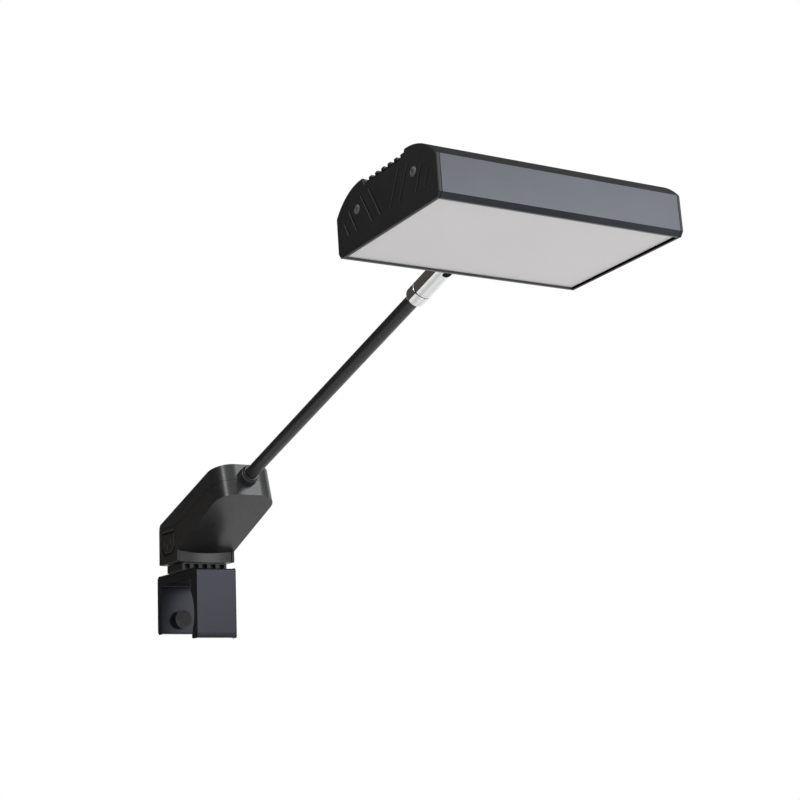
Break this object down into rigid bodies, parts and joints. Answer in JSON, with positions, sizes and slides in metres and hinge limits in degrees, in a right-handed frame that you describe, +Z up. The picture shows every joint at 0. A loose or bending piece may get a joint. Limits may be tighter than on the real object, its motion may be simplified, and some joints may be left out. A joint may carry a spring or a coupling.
{
  "type": "picture light",
  "caption": "Clamp-on display light: a screw clamp on a round rail carries a power housing, a straight arm and a finned LED panel head on a swivel and tilt knuckle.",
  "frame": {"origin": "on the axis of the rail that the clamp grips, at the middle of the clamp's width", "axes": "+X along the rail, -Y the way the light reaches out, +Z up"},
  "size_m": [0.1818, 0.5801, 0.2496],
  "materials": {
    "anodised_aluminium": "black anodised, satin, fine extrusion lines",
    "powder_coat": "black powder coat, fine matt texture",
    "housing_plastic": "black satin moulding",
    "moulded_plastic": "black fine-textured moulding",
    "grip_rubber": "dark grey matt",
    "polished_chrome": "mirror polished",
    "plated_steel": "zinc plated",
    "blackened_steel": "blackened, satin",
    "plated_brass": "nickel plated",
    "opal_acrylic": "opal, satin",
    "led_board_white": "white solder mask with rows of phosphor-covered diodes",
    "circuit_board": "green solder mask",
    "capacitor_can": "sleeved can",
    "lead_sheath": "matt sheath"
  },
  "bodies": {
    "base": {"rail_clip": "anodised_aluminium", "rail_liner": "grip_rubber", "shoe_plate": "moulded_plastic", "clip_screw_left": "plated_steel", "clip_screw_right": "plated_steel", "lower_shell": "housing_plastic", "upper_shell": "housing_plastic", "shell_screw_1": "blackened_steel", "shell_screw_2": "blackened_steel", "shell_screw_3": "blackened_steel", "shell_screw_4": "blackened_steel", "link_outlet": "moulded_plastic", "outlet_contact_line": "plated_brass", "outlet_contact_neutral": "plated_brass", "outlet_contact_earth": "plated_brass", "mains_inlet": "moulded_plastic", "inlet_pin_line": "plated_brass", "inlet_pin_neutral": "plated_brass", "inlet_pin_earth": "plated_brass", "driver_board": "circuit_board", "driver_transformer": "moulded_plastic", "driver_capacitor": "capacitor_can", "arm_bushing": "powder_coat", "arm_nut": "plated_steel", "arm_tube": "powder_coat", "arm_lead": "lead_sheath", "knuckle_collar": "polished_chrome", "swivel_ring": "moulded_plastic"},
    "knuckle": {"knuckle_fork": "polished_chrome", "pivot_screw": "plated_steel", "pivot_nut": "plated_steel"},
    "head": {"head_body": "anodised_aluminium", "end_cap_left": "powder_coat", "end_cap_right": "powder_coat", "cap_screw_left_front": "blackened_steel", "cap_screw_left_rear": "blackened_steel", "cap_screw_right_front": "blackened_steel", "cap_screw_right_rear": "blackened_steel", "diffuser": "opal_acrylic", "led_board": "led_board_white", "head_tongue": "powder_coat", "tongue_screw_left": "plated_steel", "tongue_screw_right": "plated_steel"},
    "clamp_pad": {"pressure_pad": "grip_rubber"},
    "thumb_screw": {"clamp_screw": "plated_steel", "clamp_knob": "moulded_plastic"}
  },
  "joints": [
    {"name": "head_swivel", "type": "hinge", "parent": "base", "child": "knuckle", "pos_m": [0, -0.36325, 0.18644], "axis": [0, -0.9532, 0.3024], "range_deg": [-165, 165]},
    {"name": "head_tilt", "type": "hinge", "parent": "knuckle", "child": "head", "pos_m": [0, -0.39537, 0.19663], "axis": [1, 0, 0], "range_deg": [-90, 75]},
    {"name": "pad_slide", "type": "slide", "parent": "base", "child": "clamp_pad", "axis": [0, 1, 0], "range_m": [0, 0.003]},
    {"name": "knob_turn", "type": "hinge", "parent": "clamp_pad", "child": "thumb_screw", "pos_m": [0, 0.0352, 0], "axis": [0, 1, 0], "range_deg": [0, 1080]}
  ],
  "couplings": [
    {"joint": "knob_turn", "follows": "pad_slide", "rad_per_m": 6283.2}
  ]
}
